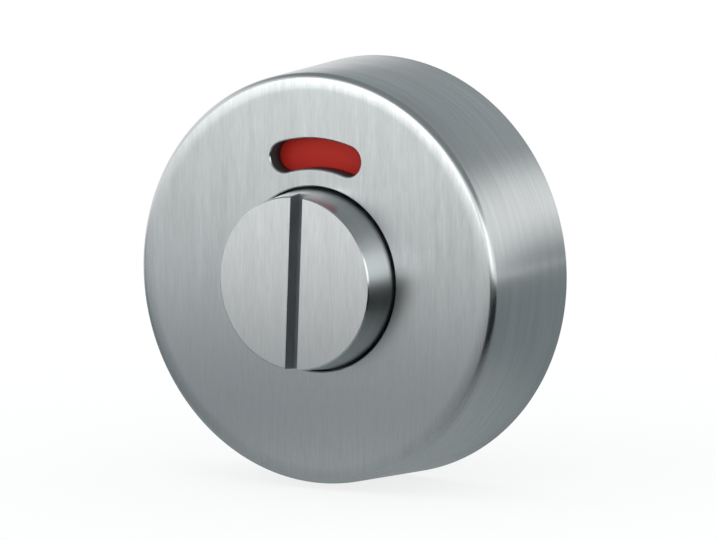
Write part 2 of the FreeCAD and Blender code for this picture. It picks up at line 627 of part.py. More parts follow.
def insert_profile(radius, bore, band, start, end):
    """Half section of a threaded insert with a waist between two knurled bands."""
    waist = f"({radius} - Sizes.insert_waist)"
    front_band = f"({end} - {band})"
    back_band = f"({start} + {band})"
    return [(bore, start), (radius, start), (radius, back_band), (waist, back_band),
            (waist, front_band), (radius, front_band), (radius, end), (bore, end)]


# Threaded inserts for the two fixing bolts
fixing_inserts = []
for side_name, side_place in (("left", f"-{INSERT_PLACE}"), ("right", INSERT_PLACE)):
    insert = new_body("fixing_insert_" + side_name)
    profile = insert_profile(INSERT, "Sizes.insert_bore / 2", "Sizes.insert_band", "0", "Sizes.insert_length")
    revolve(insert, "insert_section_" + side_name, profile, across=side_place)
    fixing_inserts.append(insert)

# Insert and grub screw that hold the cover from underneath
cover_insert = new_body("cover_insert")
insert_sketch = new_sketch(cover_insert, "cover_insert_profile", "XZ_Plane", forward="Sizes.cover_screw_depth")
cover_insert_bore = f"({COVER_SCREW} + Sizes.thread_clearance)"
profile = insert_profile(COVER_INSERT, cover_insert_bore, "Sizes.cover_insert_band",
                         f"(-{COVER_INSERT_OUTER})", f"(-{COVER_INSERT_INNER})")
outline(insert_sketch, profile)
spin(cover_insert, "cover_insert_section", insert_sketch)
cover_screw = new_body("cover_screw")
screw_sketch = new_sketch(cover_screw, "cover_screw_profile", "XZ_Plane", forward="Sizes.cover_screw_depth")
screw_point = f"({COVER_SCREW} * 0.6)"
outline(screw_sketch, [
    ("0", f"-{COVER_SCREW_OUTER}"),
    (f"{COVER_SCREW}", f"-{COVER_SCREW_OUTER}"),
    (f"{COVER_SCREW}", f"-{COVER_SCREW_INNER} - {COVER_SCREW} * 0.4"),
    (screw_point, f"-{COVER_SCREW_INNER}"),
    ("0", f"-{COVER_SCREW_INNER}"),
])
spin(cover_screw, "cover_screw_section", screw_sketch)
hexagon_sketch = new_sketch(cover_screw, "hexagon_outline", "XY_Plane", forward=f"-{COVER_SCREW_OUTER}")
hexagon_radius = "Sizes.cover_screw_socket / sqrt(3)"
hexagon = []
for corner in range(6):
    across = f"{hexagon_radius} * cos({corner * 60} deg)"
    up = f"{hexagon_radius} * sin({corner * 60} deg) - Sizes.cover_screw_depth"
    hexagon.append((across, up))
outline(hexagon_sketch, hexagon)
pocket(cover_screw, "hexagon_socket", hexagon_sketch, "Sizes.cover_screw_socket_depth", along_normal=True)

# Turned release: knob with its coin slot, key seat for the disc, shank, ring groove and square socket
release = new_body("release_turn")
revolve(release, "release_section", [
    ("0", KNOB_FRONT),
    (f"{KNOB} - Sizes.knob_chamfer", KNOB_FRONT),
    (KNOB, f"{KNOB_FRONT} - Sizes.knob_chamfer"),
    (KNOB_BASE, FACE),
    (KNOB_BASE, DISC_FRONT),
    (SHANK, DISC_FRONT),
    (SHANK, THRUST_BACK),
    (GROOVE, THRUST_BACK),
    (GROOVE, GROOVE_BACK),
    (SHANK, GROOVE_BACK),
    (SHANK, SHANK_END),
    ("0", SHANK_END),
])
key_sketch = new_sketch(release, "key_outline", "XZ_Plane", forward=f"{DISC_BACK} + Sizes.key_clearance")
double_flat(key_sketch, KEY, KEY_FLAT)
pad(release, "key_seat", key_sketch, "Sizes.disc_thickness")
slot_sketch = new_sketch(release, "coin_slot_outline", "XZ_Plane", forward=KNOB_FRONT,
                         turned="-Sizes.slot_lean_angle")
rectangle(slot_sketch, "-Sizes.slot_width / 2", "Sizes.slot_width / 2", f"-{KNOB_HOLE}", KNOB_HOLE)
pocket(release, "coin_slot", slot_sketch, "Sizes.slot_depth")
socket_sketch = new_sketch(release, "socket_outline", "XZ_Plane", forward=SHANK_END)
socket_half = "(Sizes.spindle_size / 2 + Sizes.spindle_clearance)"
rectangle(socket_sketch, f"-{socket_half}", socket_half, f"-{socket_half}", socket_half)
pocket(release, "spindle_socket", socket_sketch, "Sizes.socket_depth", along_normal=True)
release_pin_sketch = new_sketch(release, "pin_hole_outline", "YZ_Plane")
circle(release_pin_sketch, PIN_HOLE, across="-Sizes.pin_depth")
cut_through(release, "pin_hole", release_pin_sketch)

# Indicator disc keyed to the release, with a stop lug behind and two let-in colour fields in front
disc = new_body("indicator_disc")
disc_sketch = new_sketch(disc, "disc_outline", "XZ_Plane", forward=DISC_BACK)
circle(disc_sketch, DISC)
double_flat(disc_sketch, f"({KEY} + Sizes.key_clearance)", f"({KEY_FLAT} + Sizes.key_clearance)")
pad(disc, "disc_plate", disc_sketch, "Sizes.disc_thickness")
lug_foot = f"{PLATE_FRONT} + Sizes.stop_clearance"
lug_sketch = new_sketch(disc, "stop_lug_outline", "XZ_Plane", forward=lug_foot, turned=LUG_PLACE)
sector(lug_sketch, WINDOW_INNER, WINDOW_OUTER, "Sizes.lug_angle")
pad(disc, "stop_lug", lug_sketch, f"{DISC_BACK} - ({lug_foot}) + Sizes.field_thickness")
FIELD_PLACES = (("occupied_field", "0"), ("vacant_field", "-Sizes.turn_angle"))
for field_name, field_place in FIELD_PLACES:
    recess_sketch = new_sketch(disc, field_name + "_recess_outline", "XZ_Plane", forward=DISC_FRONT,
                               turned=field_place)
    sector(recess_sketch, FIELD_INNER, FIELD_OUTER, "Sizes.field_angle")
    pocket(disc, field_name + "_recess", recess_sketch, "Sizes.field_thickness")

# Colour fields: red for occupied behind the window, green for vacant a quarter turn to the right
fields = []
for field_name, field_place in FIELD_PLACES:
    field = new_body(field_name)
    field_back = f"{DISC_FRONT} - Sizes.field_thickness"
    field_sketch = new_sketch(field, field_name + "_outline", "XZ_Plane", forward=field_back,
                              turned=field_place)
    inner = f"({FIELD_INNER} + Sizes.field_clearance)"
    outer = f"({FIELD_OUTER} - Sizes.field_clearance)"
    sweep = f"(Sizes.field_angle - 2 * Sizes.field_clearance / {FIELD_INNER} * 180 / pi)"
    sector(field_sketch, inner, outer, sweep)
    pad(field, field_name + "_plate", field_sketch, "Sizes.field_thickness")
    fields.append(field)

# Square spindle through the door, and the rolled pin that holds it in the shank
spindle = new_body("spindle")
spindle_sketch = new_sketch(spindle, "spindle_outline", "XZ_Plane", forward="-Sizes.spindle_reach")
spindle_half = "(Sizes.spindle_size / 2)"
rectangle(spindle_sketch, f"-{spindle_half}", spindle_half, f"-{spindle_half}", spindle_half)
spindle_length = f"Sizes.spindle_reach + {SOCKET_FLOOR} - Sizes.spindle_end_gap"
bar = pad(spindle, "spindle_bar", spindle_sketch, spindle_length)
end_edges = level_edges(bar, "y", number("Sizes.spindle_reach"))
end_edges += level_edges(bar, "y", -number(f"{SOCKET_FLOOR} - Sizes.spindle_end_gap"))
dress(spindle, "Chamfer", "spindle_ends", bar, end_edges, "Size", "Sizes.spindle_chamfer")
spindle_pin_sketch = new_sketch(spindle, "spindle_hole_outline", "YZ_Plane")
circle(spindle_pin_sketch, PIN_HOLE, across="-Sizes.pin_depth")
cut_through(spindle, "spindle_hole", spindle_pin_sketch)
pin = new_body("spindle_pin")
pin_half = f"({SHANK} - Sizes.pin_setback)"
pin_sketch = new_sketch(pin, "pin_outline", "YZ_Plane", forward=f"-{pin_half}")
circle(pin_sketch, "Sizes.pin_diameter / 2", across="-Sizes.pin_depth")
circle(pin_sketch, "Sizes.pin_diameter / 2 - Sizes.pin_wall", across="-Sizes.pin_depth")
pad(pin, "pin_tube", pin_sketch, f"2 * {pin_half}")
slit_sketch = new_sketch(pin, "slit_outline", "YZ_Plane", forward=pin_half)
slit_left = "-Sizes.pin_depth - Sizes.pin_slit / 2"
slit_right = "-Sizes.pin_depth + Sizes.pin_slit / 2"
rectangle(slit_sketch, slit_left, slit_right, "0", "Sizes.pin_diameter")
pocket(pin, "slit", slit_sketch, f"2 * {pin_half}")

document.recompute()
pieces = [cover, window_frame, carrier, bush, wave_washer, thrust_washer, ring]
pieces += fixing_inserts + [cover_insert, cover_screw, release, disc] + fields + [spindle, pin]
for item in document.Objects:
    if "Invalid" in item.State or "Error" in item.State:
        raise RuntimeError("%s did not rebuild" % item.Label)
os.makedirs("parts", exist_ok=True)
for piece in pieces:
    if piece.Shape.isNull() or not piece.Shape.isValid():
        raise RuntimeError("%s has no sound solid" % piece.Label)
    if len(piece.Shape.Solids) != 1:
        raise RuntimeError("%s is not one solid" % piece.Label)
    piece.Shape.exportStep("parts/%s.step" % piece.Label)
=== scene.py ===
import math

import bmesh
import bpy
from mathutils import Matrix, Vector


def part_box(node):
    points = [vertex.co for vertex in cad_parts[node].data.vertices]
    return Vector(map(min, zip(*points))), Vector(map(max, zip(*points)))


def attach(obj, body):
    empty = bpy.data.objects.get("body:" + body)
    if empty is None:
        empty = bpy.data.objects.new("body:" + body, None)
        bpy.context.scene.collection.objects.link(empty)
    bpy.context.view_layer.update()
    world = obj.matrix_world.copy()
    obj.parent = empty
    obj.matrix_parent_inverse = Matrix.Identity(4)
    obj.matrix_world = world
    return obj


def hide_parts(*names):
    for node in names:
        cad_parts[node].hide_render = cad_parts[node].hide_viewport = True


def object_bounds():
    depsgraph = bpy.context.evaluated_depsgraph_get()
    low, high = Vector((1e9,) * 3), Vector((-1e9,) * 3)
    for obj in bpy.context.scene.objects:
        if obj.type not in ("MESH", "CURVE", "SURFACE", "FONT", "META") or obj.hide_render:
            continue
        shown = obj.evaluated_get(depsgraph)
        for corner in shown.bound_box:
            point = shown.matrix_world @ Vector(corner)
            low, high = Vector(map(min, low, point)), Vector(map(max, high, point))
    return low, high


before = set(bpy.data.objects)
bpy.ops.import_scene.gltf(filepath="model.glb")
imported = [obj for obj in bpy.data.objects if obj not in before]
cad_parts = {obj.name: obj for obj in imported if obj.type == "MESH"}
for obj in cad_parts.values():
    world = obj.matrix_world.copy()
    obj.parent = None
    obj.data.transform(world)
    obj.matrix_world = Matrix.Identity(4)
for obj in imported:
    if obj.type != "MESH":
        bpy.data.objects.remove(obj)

bl_info = {
    "name": "Bathroom lock rose",
    "version": (1, 0, 0),
    "blender": (4, 5, 0),
    "location": "3D View > Sidebar > Lock rose",
    "description": "Builds the looks of a steel bathroom lock rose with a coin release around its CAD frame",
    "category": "Object",
}

CAD_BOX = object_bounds()
COVER_LOW, COVER_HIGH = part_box("rose_cover")
TURN_LOW, TURN_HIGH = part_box("release_turn")
DISC_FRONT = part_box("indicator_disc")[0][1]
MM = 0.001
CLOSE = 0.001 * MM  # points nearer than this lie on one another
MERGE = 0.0001 * MM  # doubles that a cut leaves behind
NEAR_CUT = 0.01 * MM  # how far a face's middle may lie off the plane or the slot that it belongs to
SHARP = math.radians(25)  # steeper edges stay crisp
DRILL_STEPS = 48
WINDOW_STEPS = 32  # segments on each of the window's four arcs
CROWN_STEPS = 6
CORNER_STEPS = 12
FLAT_FACE = 0.9999  # share of the normal along the lock axis from which a face is shaded flat


def linear(code):
    """Linear colour of an sRGB hex code."""
    parts = [int(code[place:place + 2], 16) / 255 for place in (1, 3, 5)]
    return tuple(part / 12.92 if part <= 0.04045 else ((part + 0.055) / 1.055) ** 2.4 for part in parts)


def length(name, description, default):
    """Length property in metres."""
    return bpy.props.FloatProperty(
        name=name, description=description, default=default, min=0.0, precision=5,
        subtype="DISTANCE", unit="LENGTH")


def colour(name, description, code):
    """Colour property from an sRGB hex code."""
    return bpy.props.FloatVectorProperty(
        name=name, description=description, default=linear(code), size=3, min=0.0, max=1.0, subtype="COLOR")


class CoverSettings(bpy.types.PropertyGroup):
    """Sizes of the drawn cover."""

    radius: length("Radius", "Outside radius at the door", COVER_HIGH[0])
    depth: length("Depth", "Door to face", -COVER_LOW[1])
    inset: length("Inset", "How far the wall leans in from door to face", 0.77 * MM)
    wall: length("Wall", "Thickness of the drawn sheet", 1.5 * MM)
    crown: length("Crown", "Radius of the soft bend at the rim of the face", 16.0 * MM)
    crown_angle: bpy.props.FloatProperty(
        name="Crown angle", description="How far the soft bend turns before the corner",
        default=math.radians(5.0), subtype="ANGLE", unit="ROTATION")
    corner: length("Corner", "Radius between the soft bend and the wall", 0.8 * MM)
    inner_edge: length("Inner edge", "Inside bevel between face and wall", 0.6 * MM)
    rim: length("Rim", "Broken edge of the rim at the door", 0.2 * MM)
    burr: length("Burr", "Broken edge of the punched openings", 0.13 * MM)
    hole: length("Knob hole", "Radius of the hole for the knob", 11.4 * MM)
    window_middle: length("Window radius", "Lock axis to the middle of the window", 15.4 * MM)
    window_width: length("Window width", "Radial width of the window", 3.8 * MM)
    window_sweep: bpy.props.FloatProperty(
        name="Window sweep", description="Angle between the centres of the window's ends",
        default=math.radians(34.4), subtype="ANGLE", unit="ROTATION")
    screw_depth: length("Screw place", "Door to the axis of the cover screw", 5.0 * MM)
    screw_hole: length("Screw hole", "Radius of the hole for the cover screw", 1.7 * MM)
    steps: bpy.props.IntProperty(name="Steps", description="Segments round the cover", default=256, min=16)


class ReleaseSettings(bpy.types.PropertyGroup):
    """Sizes of the turned release."""

    radius: length("Radius", "Radius of the knob at the cover", TURN_HIGH[0])
    flare: length("Flare", "How much less the radius is at the front", 0.45 * MM)
    front: length("Front", "Door to the front of the knob", -TURN_LOW[1])
    back: length("Shoulder", "Door to the back of the knob", -DISC_FRONT)
    end: length("End", "Door to the end of the shank", -TURN_HIGH[1])
    chamfer: length("Chamfer", "Broken front edge", 0.15 * MM)
    slot_width: length("Slot width", "Width of the coin slot", 1.65 * MM)
    slot_depth: length("Slot depth", "Depth of the coin slot", 2.0 * MM)
    slot_burr: length("Slot burr", "Broken edge of the coin slot", 0.05 * MM)
    slot_lean: bpy.props.FloatProperty(
        name="Slot lean", description="How far the slot leans clockwise",
        default=math.radians(2.2), subtype="ANGLE", unit="ROTATION")
    key: length("Key seat", "Radius of the seat of the disc", 8.0 * MM)
    key_flat: length("Key flat", "Lock axis to the flats of that seat", 7.2 * MM)
    key_back: length("Key back", "Door to the back of that seat", 12.55 * MM)
    shank: length("Shank", "Radius of the shank", 7.0 * MM)
    groove: length("Groove", "Radius of the ring groove", 6.7 * MM)
    groove_front: length("Groove front", "Door to the front of the ring groove", 2.65 * MM)
    groove_back: length("Groove back", "Door to the back of the ring groove", 1.6 * MM)
    socket: length("Socket", "Half width of the square socket", 4.05 * MM)
    socket_depth: length("Socket depth", "Depth of the square socket", 12.0 * MM)
    pin_hole: length("Pin hole", "Radius of the hole for the cross pin", 1.27 * MM)
    pin_depth: length("Pin place", "Door to the axis of the cross pin", 7.0 * MM)
    steps: bpy.props.IntProperty(name="Steps", description="Segments round the knob", default=192, min=16)


class InsertSettings(bpy.types.PropertyGroup):
    """Sizes of the two threaded inserts behind."""

    bore: length("Bore", "Radius at the crests of the thread", 1.65 * MM)
    thread: length("Thread", "Radius at the roots of the thread", 2.0 * MM)
    pitch: length("Pitch", "Crest to crest along the thread", 0.7 * MM)
    band: length("Band", "Length of the band at each end", 2.8 * MM)
    waist: length("Waist", "How far the middle is turned down", 0.4 * MM)
    lead: length("Lead", "Countersink at the mouth of the thread", 0.25 * MM)
    steps: bpy.props.IntProperty(name="Steps", description="Segments round an insert", default=64, min=16)


class FinishSettings(bpy.types.PropertyGroup):
    """Colours of the finishes."""

    steel: colour("Stainless steel", "Satin brushed cover and knob", "#D0D4D5")
    knob: colour("Knob steel", "Finer satin on the knob's front", "#E6E8E8")
    # The cut colour is painted shade: much darker than the steel, it stands in for the shade inside the
    # punched openings.
    cut: colour("Cut steel", "Punched edges darkened as painted shade", "#3A3F3E")
    # Darker than the steel partly for the rough milled floor and walls, partly as painted shade inside the
    # coin slot.
    milled_with_painted_shade: colour("Milled steel", "Rough floor and walls of the coin slot", "#AEB2B4")
    nylon: colour("Nylon", "Moulded carrier", "#232325")
    acetal: colour("Acetal", "Bearing bush", "#E4E1D8")
    disc: colour("Disc", "Moulded indicator disc", "#5B5C5E")
    red: colour("Red", "Occupied field", "#BA241A")
    green: colour("Green", "Vacant field", "#2F8A4B")
    brass: colour("Brass", "Threaded inserts", "#C9A45C")
    zinc: colour("Zinc", "Plated spindle and washer", "#B9BDC2")
    spring: colour("Spring steel", "Oiled ring, washer and pin", "#55565A")
    floor: colour("Floor", "Pale studio floor", "#F4F4F2")


class StageSettings(bpy.types.PropertyGroup):
    """Camera of the photograph."""

    azimuth: bpy.props.FloatProperty(
        name="Azimuth", description="Camera to the right of the lock axis",
        default=math.radians(31.2), subtype="ANGLE", unit="ROTATION")
    elevation: bpy.props.FloatProperty(
        name="Elevation", description="Camera above the lock axis",
        default=math.radians(7.45), subtype="ANGLE", unit="ROTATION")
    distance: length("Distance", "Camera to the back of the rose", 1000 * MM)
    lens: bpy.props.FloatProperty(
        name="Lens", description="Focal length in millimetres on a 36 mm sensor",
        default=406.4, subtype="DISTANCE_CAMERA")
    aim_right: length("Aim right", "Lock axis right of the picture's middle", 3.32 * MM)
    aim_up: length("Aim up", "Lock axis above the picture's middle", 0.72 * MM)


class LockRoseSettings(bpy.types.PropertyGroup):
    """Everything that a user would change on the rose."""

    cover: bpy.props.PointerProperty(type=CoverSettings)
    release: bpy.props.PointerProperty(type=ReleaseSettings)
    insert: bpy.props.PointerProperty(type=InsertSettings)
    finish: bpy.props.PointerProperty(type=FinishSettings)
    stage: bpy.props.PointerProperty(type=StageSettings)


def add(tree, kind, inputs=None, **settings):
    """Add a node with its settings, socket values and links."""
    made = tree.nodes.new(kind)
    for name, value in settings.items():
        setattr(made, name, value)
    for name, value in (inputs or {}).items():
        if isinstance(value, bpy.types.NodeSocket):
            tree.links.new(value, made.inputs[name])
        else:
            made.inputs[name].default_value = value
    return made


def new_material(name):
    """Empty material and the tree that it is drawn in."""
    material = bpy.data.materials.new(name)
    material.use_nodes = True
    material.node_tree.nodes.clear()
    return material, material.node_tree


def output(tree, shader):
    """Send a shader to the surface."""
    add(tree, "ShaderNodeOutputMaterial", {"Surface": shader.outputs[0]})


def brushed_steel(name, tint, line_scale, cloud_scale, spread, roughness):
    """Satin stainless steel rubbed one way with a fine belt: short grey lines along the rub, and
    highlights that spread across it. spread is the direction across the lines, and None means lines
    that run round the lock axis."""
    material, tree = new_material(name)
    place = add(tree, "ShaderNodeTexCoord").outputs["Object"]
    lines = add(tree, "ShaderNodeMapping", {"Vector": place, "Scale": line_scale})
    fine = add(tree, "ShaderNodeTexNoise", {
        "Vector": lines.outputs[0], "Scale": 1.0, "Detail": 3.0, "Roughness": 0.62})
    clouds = add(tree, "ShaderNodeMapping", {"Vector": place, "Scale": cloud_scale})
    broad = add(tree, "ShaderNodeTexNoise", {
        "Vector": clouds.outputs[0], "Scale": 1.0, "Detail": 2.0, "Roughness": 0.5})
    grain = add(tree, "ShaderNodeMath", {
        0: broad.outputs[0], 1: 0.6, 2: fine.outputs[0]}, operation="MULTIPLY_ADD")
    shade = add(tree, "ShaderNodeMapRange", {
        "Value": grain.outputs[0], "From Min": 0.5, "From Max": 1.1, "To Min": 0.88, "To Max": 1.07})
    tinted = add(tree, "ShaderNodeMix", {
        "Factor": 1.0, "A": (*tint, 1.0), "B": shade.outputs[0]}, data_type="RGBA", blend_type="MULTIPLY")
    rough = add(tree, "ShaderNodeMapRange", {
        "Value": grain.outputs[0], "From Min": 0.5, "From Max": 1.1,
        "To Min": roughness + 0.03, "To Max": roughness - 0.03})
    bump = add(tree, "ShaderNodeBump", {
        "Height": grain.outputs[0], "Strength": 0.35, "Distance": 0.004 * MM})
    inputs = {
        "Base Color": tinted.outputs["Result"], "Metallic": 1.0, "Roughness": rough.outputs[0],
        "Normal": bump.outputs[0], "Anisotropic": 0.7}
    if spread is None:
        around = add(tree, "ShaderNodeVectorMath", {0: place, 1: (0.0, 1.0, 0.0)}, operation="CROSS_PRODUCT")
        direction = around.outputs[0]
        inputs["Anisotropic Rotation"] = 0.25
    else:
        direction = spread
    turned = add(tree, "ShaderNodeVectorTransform", {
        "Vector": direction}, vector_type="VECTOR", convert_from="OBJECT", convert_to="WORLD")
    inputs["Tangent"] = turned.outputs[0]
    output(tree, add(tree, "ShaderNodeBsdfPrincipled", inputs))
    return material


def moulded(name, tint, grit, roughness, shine=0.5):
    """Plastic moulded against a spark-eroded tool: a soft broken sheen and slight clouding."""
    material, tree = new_material(name)
    place = add(tree, "ShaderNodeTexCoord").outputs["Object"]
    skin = add(tree, "ShaderNodeTexNoise", {
        "Vector": place, "Scale": 1 / grit, "Detail": 2.0, "Roughness": 0.6})
    cloud = add(tree, "ShaderNodeTexNoise", {"Vector": place, "Scale": 1 / (9 * MM), "Detail": 2.0})
    shade = add(tree, "ShaderNodeMapRange", {
        "Value": cloud.outputs[0], "From Min": 0.3, "From Max": 0.7, "To Min": 0.93, "To Max": 1.05})
    tinted = add(tree, "ShaderNodeMix", {
        "Factor": 1.0, "A": (*tint, 1.0), "B": shade.outputs[0]}, data_type="RGBA", blend_type="MULTIPLY")
    rough = add(tree, "ShaderNodeMapRange", {
        "Value": skin.outputs[0], "From Min": 0.3, "From Max": 0.7,
        "To Min": roughness - 0.06, "To Max": roughness + 0.06})
    bump = add(tree, "ShaderNodeBump", {"Height": skin.outputs[0], "Strength": 0.4, "Distance": 0.004 * MM})
    output(tree, add(tree, "ShaderNodeBsdfPrincipled", {
        "Base Color": tinted.outputs["Result"], "Roughness": rough.outputs[0], "Normal": bump.outputs[0],
        "IOR": 1.5, "Specular IOR Level": shine}))
    return material


def machined(name, tint, line, roughness):
    """Turned or drawn metal: faint tool lines round the work and small dull patches."""
    material, tree = new_material(name)
    place = add(tree, "ShaderNodeTexCoord").outputs["Object"]
    lines = add(tree, "ShaderNodeMapping", {"Vector": place, "Scale": (1 / (4 * MM), 1 / line, 1 / (4 * MM))})
    tool = add(tree, "ShaderNodeTexNoise", {"Vector": lines.outputs[0], "Scale": 1.0, "Detail": 2.0})
    patch = add(tree, "ShaderNodeTexNoise", {"Vector": place, "Scale": 1 / (3 * MM), "Detail": 3.0})
    shade = add(tree, "ShaderNodeMapRange", {
        "Value": patch.outputs[0], "From Min": 0.3, "From Max": 0.7, "To Min": 0.88, "To Max": 1.06})
    tinted = add(tree, "ShaderNodeMix", {
        "Factor": 1.0, "A": (*tint, 1.0), "B": shade.outputs[0]}, data_type="RGBA", blend_type="MULTIPLY")
    rough = add(tree, "ShaderNodeMapRange", {
        "Value": patch.outputs[0], "From Min": 0.3, "From Max": 0.7,
        "To Min": roughness - 0.05, "To Max": roughness + 0.05})
    bump = add(tree, "ShaderNodeBump", {"Height": tool.outputs[0], "Strength": 0.3, "Distance": 0.004 * MM})
    output(tree, add(tree, "ShaderNodeBsdfPrincipled", {
        "Base Color": tinted.outputs["Result"], "Metallic": 1.0, "Roughness": rough.outputs[0],
        "Normal": bump.outputs[0]}))
    return material


def straight_steel(name, tint):
    """Belt lines run up and down the face. The real ones are finer than a pixel, so they are drawn about
    0.3 mm apart to show."""
    return brushed_steel(
        name, tint, (1 / (0.28 * MM), 1 / (10 * MM), 1 / (2.6 * MM)),
        (1 / (1.2 * MM), 1 / (10 * MM), 1 / (16 * MM)), (1.0, 0.0, 0.0), 0.30)


def round_steel(name, tint, roughness):
    """Lathe-held belt lines run round the wall, about 0.12 mm apart."""
    return brushed_steel(
        name, tint, (1 / (9 * MM), 1 / (0.12 * MM), 1 / (9 * MM)),
        (1 / (20 * MM), 1 / (1.0 * MM), 1 / (20 * MM)), None, roughness)


def finish_piece(name, shape, materials, body, node):
    """Turn a bmesh into a piece that rides on a body and stands for a CAD node."""
    mesh = bpy.data.meshes.new(name)
    shape.to_mesh(mesh)
    shape.free()
    piece = bpy.data.objects.new(name, mesh)
    bpy.context.scene.collection.objects.link(piece)
    for material in materials:
        mesh.materials.append(material)
    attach(piece, body)
    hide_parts(node)
    return piece


def mark_sharp(shape):
    """Smooth shading that breaks at edges steeper than the limit."""
    for face in shape.faces:
        face.smooth = True
    for edge in shape.edges:
        edge.smooth = len(edge.link_faces) == 2 and edge.calc_face_angle(0.0) < SHARP


def ring(shape, radius, depth, steps):
    """Ring of edges round the lock axis."""
    turn = Matrix.Translation((0, -depth, 0)) @ Matrix.Rotation(math.pi / 2, 4, "X")
    made = bmesh.ops.create_circle(shape, cap_ends=False, segments=steps, radius=radius, matrix=turn)
    return list({edge for vert in made["verts"] for edge in vert.link_edges})


def ring_place(item, depth, near, far=None):
    """Whether an edge or face lies at one depth, between two distances from the lock axis."""
    limit = near if far is None else far
    for vert in item.verts:
        across = math.hypot(vert.co.x, vert.co.z)
        if abs(vert.co.y + depth) > CLOSE or across < near - CLOSE or across > limit + CLOSE:
            return False
    return True


def bore(shape, tool):
    """Cut one closed shape out of another."""
    holders = []
    for part in (shape, tool):
        mesh = bpy.data.meshes.new("bore")
        part.to_mesh(mesh)
        part.free()
        holders.append(bpy.data.objects.new("bore", mesh))
        bpy.context.scene.collection.objects.link(holders[-1])
    body, cutter = holders
    cut = body.modifiers.new("bore", "BOOLEAN")
    cut.operation = "DIFFERENCE"
    cut.solver = "EXACT"
    cut.object = cutter
    evaluated = body.evaluated_get(bpy.context.evaluated_depsgraph_get())
    result = bmesh.new()
    result.from_mesh(evaluated.to_mesh())
    evaluated.to_mesh_clear()
    for holder in holders:
        mesh = holder.data
        bpy.data.objects.remove(holder)
        bpy.data.meshes.remove(mesh)
    bmesh.ops.remove_doubles(result, verts=result.verts, dist=MERGE)
    return result


def drill(radius, length, place):
    """Round cutter whose place gives its middle and its direction."""
    tool = bmesh.new()
    bmesh.ops.create_cone(
        tool, cap_ends=True, cap_tris=False, segments=DRILL_STEPS, radius1=radius, radius2=radius,
        depth=length, matrix=place)
    return tool


def mill(width, depth, height, place):
    """Box cutter whose place gives its middle and its turn."""
    tool = bmesh.new()
    bmesh.ops.create_cube(tool, size=1.0, matrix=place @ Matrix.Diagonal((width, depth, height, 1.0)))
    return tool


def window_ring(shape, cover, depth, grow):
    """Outline of the curved window: four arcs, each swung from the end of the last one."""
    half = cover.window_sweep / 2
    middle = cover.window_middle
    reach = cover.window_width / 2 + grow
    right = Vector((middle * math.sin(half), -depth, middle * math.cos(half)))
    left = Vector((-right.x, -depth, right.z))
    centre = Vector((0, -depth, 0))
    first = centre + (left - centre) * ((middle + reach) / middle)
    start = shape.verts.new(first)
    vert = start
    swings = ((centre, 2 * half), (right, math.pi), (centre, -2 * half), (left, math.pi))
    for pivot, angle in swings:
        made = bmesh.ops.spin(
            shape, geom=[vert], cent=pivot, axis=(0, 1, 0), dvec=(0, 0, 0), angle=angle,
            steps=WINDOW_STEPS, use_merge=False)
        vert = made["geom_last"][0]
    bmesh.ops.weld_verts(shape, targetmap={vert: start})
    edges = set(start.link_edges)
    grown = True
    while grown:
        near = {edge for known in edges for vert in known.verts for edge in vert.link_edges}
        grown = not near <= edges
        edges |= near
    return list(edges)


